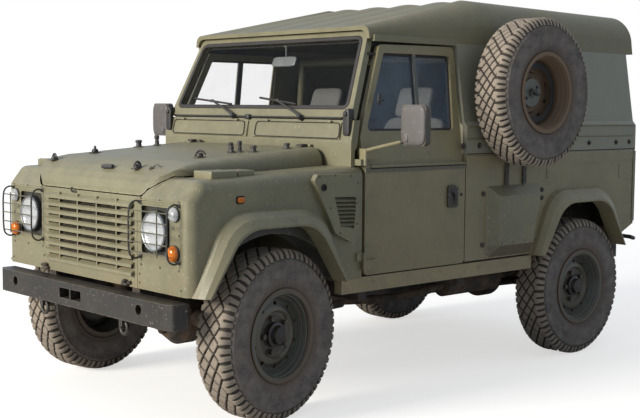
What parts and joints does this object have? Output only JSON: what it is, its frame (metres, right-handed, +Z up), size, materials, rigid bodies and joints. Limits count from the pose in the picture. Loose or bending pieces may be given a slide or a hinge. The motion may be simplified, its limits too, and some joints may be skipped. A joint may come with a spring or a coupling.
{
  "type": "light four-wheel-drive army car",
  "caption": "Short two-door army four-wheel-drive car with a moulded hardtop, side-mounted spare wheel, slatted grille, guarded lamps and flared wheel arches.",
  "frame": {"origin": "on the ground, below the middle of the car's length and width", "axes": "+X forward, +Y to the car's left, +Z up"},
  "size_m": [3.615, 2.27, 2.062],
  "materials": {
    "olive_paint": "matt, dusty",
    "moulded_top": "matt paint on moulded plastic",
    "black_paint": "satin, dusty",
    "bare_metal": "oily",
    "tyre": "dusty",
    "rim_paint": "matt, rust stained",
    "glass": "clear",
    "lamp_plastic": "clear, orange and red",
    "black_plastic": "grained",
    "seat_cloth": "coated cloth"
  },
  "bodies": {
    "car_body": {"air_intake": "olive_paint", "bulkhead": "olive_paint", "chassis_frame": "black_paint", "floor_pan": "olive_paint", "front_axle": "black_paint", "front_bumper": "black_paint", "front_panel": "olive_paint", "hardtop_left": "moulded_top", "hardtop_rear": "moulded_top", "hardtop_right": "moulded_top", "hardtop_roof": "moulded_top", "lamp_guards": "black_paint", "lamps": "lamp_plastic", "powertrain": "bare_metal", "rear_axle": "black_paint", "roll_bar": "black_paint", "seats": "seat_cloth", "side_locker": "olive_paint", "spare_carrier": "black_paint", "spare_rim": "rim_paint", "spare_tyre": "tyre", "tub_left": "olive_paint", "tub_rear": "olive_paint", "tub_right": "olive_paint", "windscreen_frame": "olive_paint", "windscreen_glass": "glass", "wing_left": "olive_paint", "wing_right": "olive_paint"},
    "bonnet": {"bonnet": "olive_paint"},
    "door_left": {"door_left": "olive_paint", "door_glass_left": "glass"},
    "door_right": {"door_right": "olive_paint", "door_glass_right": "glass"},
    "rear_door": {"rear_door": "olive_paint", "rear_door_glass": "glass"},
    "knuckle_left": {"knuckle_left": "black_paint"},
    "knuckle_right": {"knuckle_right": "black_paint"},
    "track_rod": {"track_rod": "black_paint"},
    "steering_wheel": {"steering_wheel": "black_plastic"},
    "wheel_fl": {"tyre_fl": "tyre", "wheel_fl": "rim_paint"},
    "wheel_fr": {"tyre_fr": "tyre", "wheel_fr": "rim_paint"},
    "wheel_rl": {"tyre_rl": "tyre", "wheel_rl": "rim_paint"},
    "wheel_rr": {"tyre_rr": "tyre", "wheel_rr": "rim_paint"}
  },
  "joints": [
    {"name": "steer_left", "type": "hinge", "parent": "car_body", "child": "knuckle_left", "pos_m": [1.235, 0.66, 0.404], "axis": [0, 0, 1], "range_deg": [-39, 21]},
    {"name": "steer_right", "type": "hinge", "parent": "car_body", "child": "knuckle_right", "pos_m": [1.235, -0.66, 0.404], "axis": [0, 0, 1], "range_deg": [-39, 21]},
    {"name": "track_rod_slide", "type": "slide", "parent": "car_body", "child": "track_rod", "axis": [0, 1, 0], "range_m": [-0.056, 0.102]},
    {"name": "steering_wheel_turn", "type": "hinge", "parent": "car_body", "child": "steering_wheel", "pos_m": [0.43, 0.37, 1.225], "axis": [-0.866, 0, 0.5], "range_deg": [-790, 430]},
    {"name": "wheel_fl_spin", "type": "hinge", "parent": "knuckle_left", "child": "wheel_fl", "pos_m": [1.22202, 0.74198, 0.404], "axis": [-0.1564, 0.9877, 0], "continuous": true},
    {"name": "wheel_fr_spin", "type": "hinge", "parent": "knuckle_right", "child": "wheel_fr", "pos_m": [1.24798, -0.74198, 0.404], "axis": [-0.1564, 0.9877, 0], "continuous": true},
    {"name": "wheel_rl_spin", "type": "hinge", "parent": "car_body", "child": "wheel_rl", "pos_m": [-1.125, 0.743, 0.404], "axis": [0, 1, 0], "continuous": true},
    {"name": "wheel_rr_spin", "type": "hinge", "parent": "car_body", "child": "wheel_rr", "pos_m": [-1.125, -0.743, 0.404], "axis": [0, 1, 0], "continuous": true},
    {"name": "bonnet_hinge", "type": "hinge", "parent": "car_body", "child": "bonnet", "pos_m": [0.752, 0, 1.268], "axis": [0, -1, 0], "range_deg": [0, 50]},
    {"name": "door_left_hinge", "type": "hinge", "parent": "car_body", "child": "door_left", "pos_m": [0.69, 0.838, 0.95], "axis": [0, 0, -1], "range_deg": [0, 70]},
    {"name": "door_right_hinge", "type": "hinge", "parent": "car_body", "child": "door_right", "pos_m": [0.69, -0.838, 0.95], "axis": [0, 0, 1], "range_deg": [0, 70]},
    {"name": "rear_door_hinge", "type": "hinge", "parent": "car_body", "child": "rear_door", "pos_m": [-1.715, -0.446, 1.2], "axis": [0, 0, 1], "range_deg": [0, 95]}
  ],
  "couplings": [
    {"joint": "steer_right", "follows": "steer_left", "ratio": 1},
    {"joint": "track_rod_slide", "follows": "steer_left", "m_per_rad": -0.147},
    {"joint": "steering_wheel_turn", "follows": "steer_left", "ratio": 20}
  ]
}
